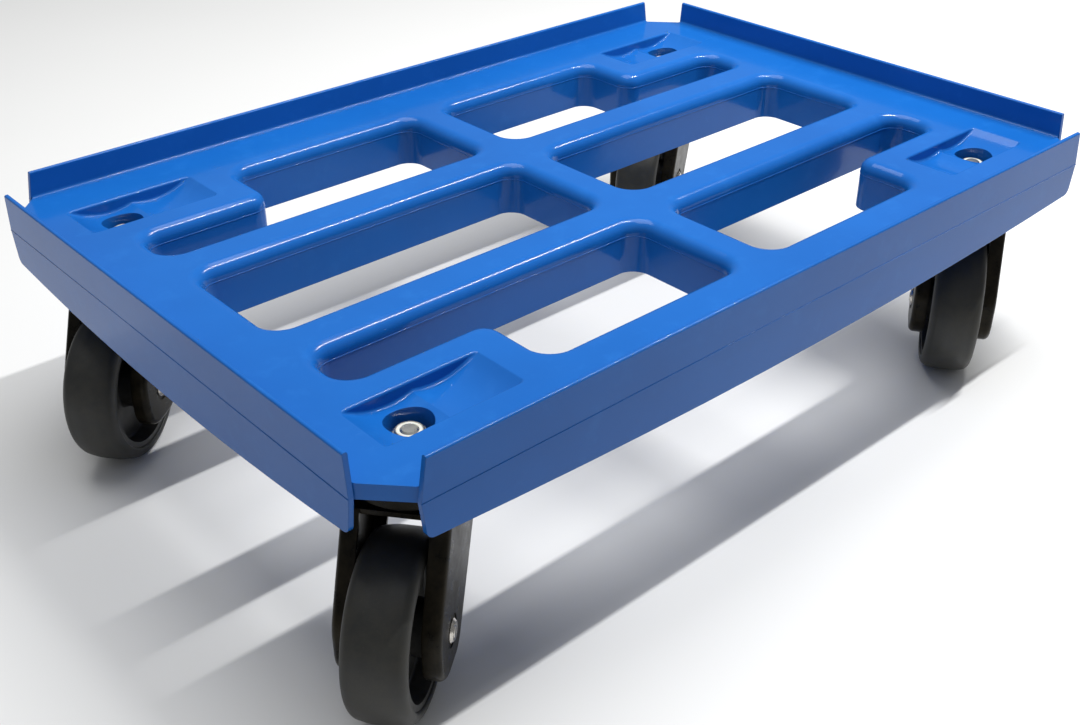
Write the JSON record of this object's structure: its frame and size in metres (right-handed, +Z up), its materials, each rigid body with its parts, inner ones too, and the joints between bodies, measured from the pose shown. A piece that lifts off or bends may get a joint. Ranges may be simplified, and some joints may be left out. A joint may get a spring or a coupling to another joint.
{
  "type": "platform trolley",
  "caption": "blue moulded plastic platform trolley with open deck, low rims and swivel castors",
  "frame": {"origin": "On the floor under the middle of the tray.", "axes": "+X along the length of the tray, +Y across its width, +Z up from the floor."},
  "size_m": [0.6392, 0.4278, 0.1725],
  "materials": {
    "tray_plastic": "satin, fine grain",
    "black_steel": "gloss black coat",
    "plated_steel": "zinc plated",
    "bright_steel": "bright",
    "ball_steel": "polished",
    "nylon": "matt",
    "seal_rubber": "matt",
    "core_plastic": "moulded, matt",
    "tread_rubber": "satin, slightly mottled"
  },
  "bodies": {
    "tray": {"deck": "tray_plastic", "king_bolts": "plated_steel", "king_washers": "plated_steel", "king_nuts": "plated_steel", "nylon_rings": "nylon", "top_race_1": "black_steel", "swivel_pin_1": "plated_steel", "lower_race_1": "black_steel", "top_race_2": "black_steel", "swivel_pin_2": "plated_steel", "lower_race_2": "black_steel", "top_race_3": "black_steel", "swivel_pin_3": "plated_steel", "lower_race_3": "black_steel", "top_race_4": "black_steel", "swivel_pin_4": "plated_steel", "lower_race_4": "black_steel"},
    "swivel_1": {"fork_1": "black_steel", "balls_1": "ball_steel", "dust_seal_1": "seal_rubber", "axle_1": "bright_steel", "sleeve_1": "plated_steel", "spacers_1": "plated_steel"},
    "wheel_1": {"bush_1": "core_plastic", "wheel_core_1": "core_plastic", "tyre_1": "tread_rubber"},
    "swivel_2": {"fork_2": "black_steel", "balls_2": "ball_steel", "dust_seal_2": "seal_rubber", "axle_2": "bright_steel", "sleeve_2": "plated_steel", "spacers_2": "plated_steel"},
    "wheel_2": {"bush_2": "core_plastic", "wheel_core_2": "core_plastic", "tyre_2": "tread_rubber"},
    "swivel_3": {"fork_3": "black_steel", "balls_3": "ball_steel", "dust_seal_3": "seal_rubber", "axle_3": "bright_steel", "sleeve_3": "plated_steel", "spacers_3": "plated_steel"},
    "wheel_3": {"bush_3": "core_plastic", "wheel_core_3": "core_plastic", "tyre_3": "tread_rubber"},
    "swivel_4": {"fork_4": "black_steel", "balls_4": "ball_steel", "dust_seal_4": "seal_rubber", "axle_4": "bright_steel", "sleeve_4": "plated_steel", "spacers_4": "plated_steel"},
    "wheel_4": {"bush_4": "core_plastic", "wheel_core_4": "core_plastic", "tyre_4": "tread_rubber"}
  },
  "joints": [
    {"name": "swivel_turn_1", "type": "hinge", "parent": "tray", "child": "swivel_1", "pos_m": [-0.251, -0.152, 0.115], "axis": [0, 0, 1], "continuous": true},
    {"name": "wheel_spin_1", "type": "hinge", "parent": "swivel_1", "child": "wheel_1", "pos_m": [-0.28252, -0.17663, 0.05], "axis": [0.6157, -0.788, 0], "continuous": true},
    {"name": "swivel_turn_2", "type": "hinge", "parent": "tray", "child": "swivel_2", "pos_m": [0.251, -0.152, 0.115], "axis": [0, 0, 1], "continuous": true},
    {"name": "wheel_spin_2", "type": "hinge", "parent": "swivel_2", "child": "wheel_2", "pos_m": [0.21784, -0.17437, 0.05], "axis": [0.5592, -0.829, 0], "continuous": true},
    {"name": "swivel_turn_3", "type": "hinge", "parent": "tray", "child": "swivel_3", "pos_m": [0.251, 0.152, 0.115], "axis": [0, 0, 1], "continuous": true},
    {"name": "wheel_spin_3", "type": "hinge", "parent": "swivel_3", "child": "wheel_3", "pos_m": [0.21636, 0.132, 0.05], "axis": [0.5, -0.866, 0], "continuous": true},
    {"name": "swivel_turn_4", "type": "hinge", "parent": "tray", "child": "swivel_4", "pos_m": [-0.251, 0.152, 0.115], "axis": [0, 0, 1], "continuous": true},
    {"name": "wheel_spin_4", "type": "hinge", "parent": "swivel_4", "child": "wheel_4", "pos_m": [-0.28209, 0.12683, 0.05], "axis": [0.6293, -0.7771, 0], "continuous": true}
  ]
}
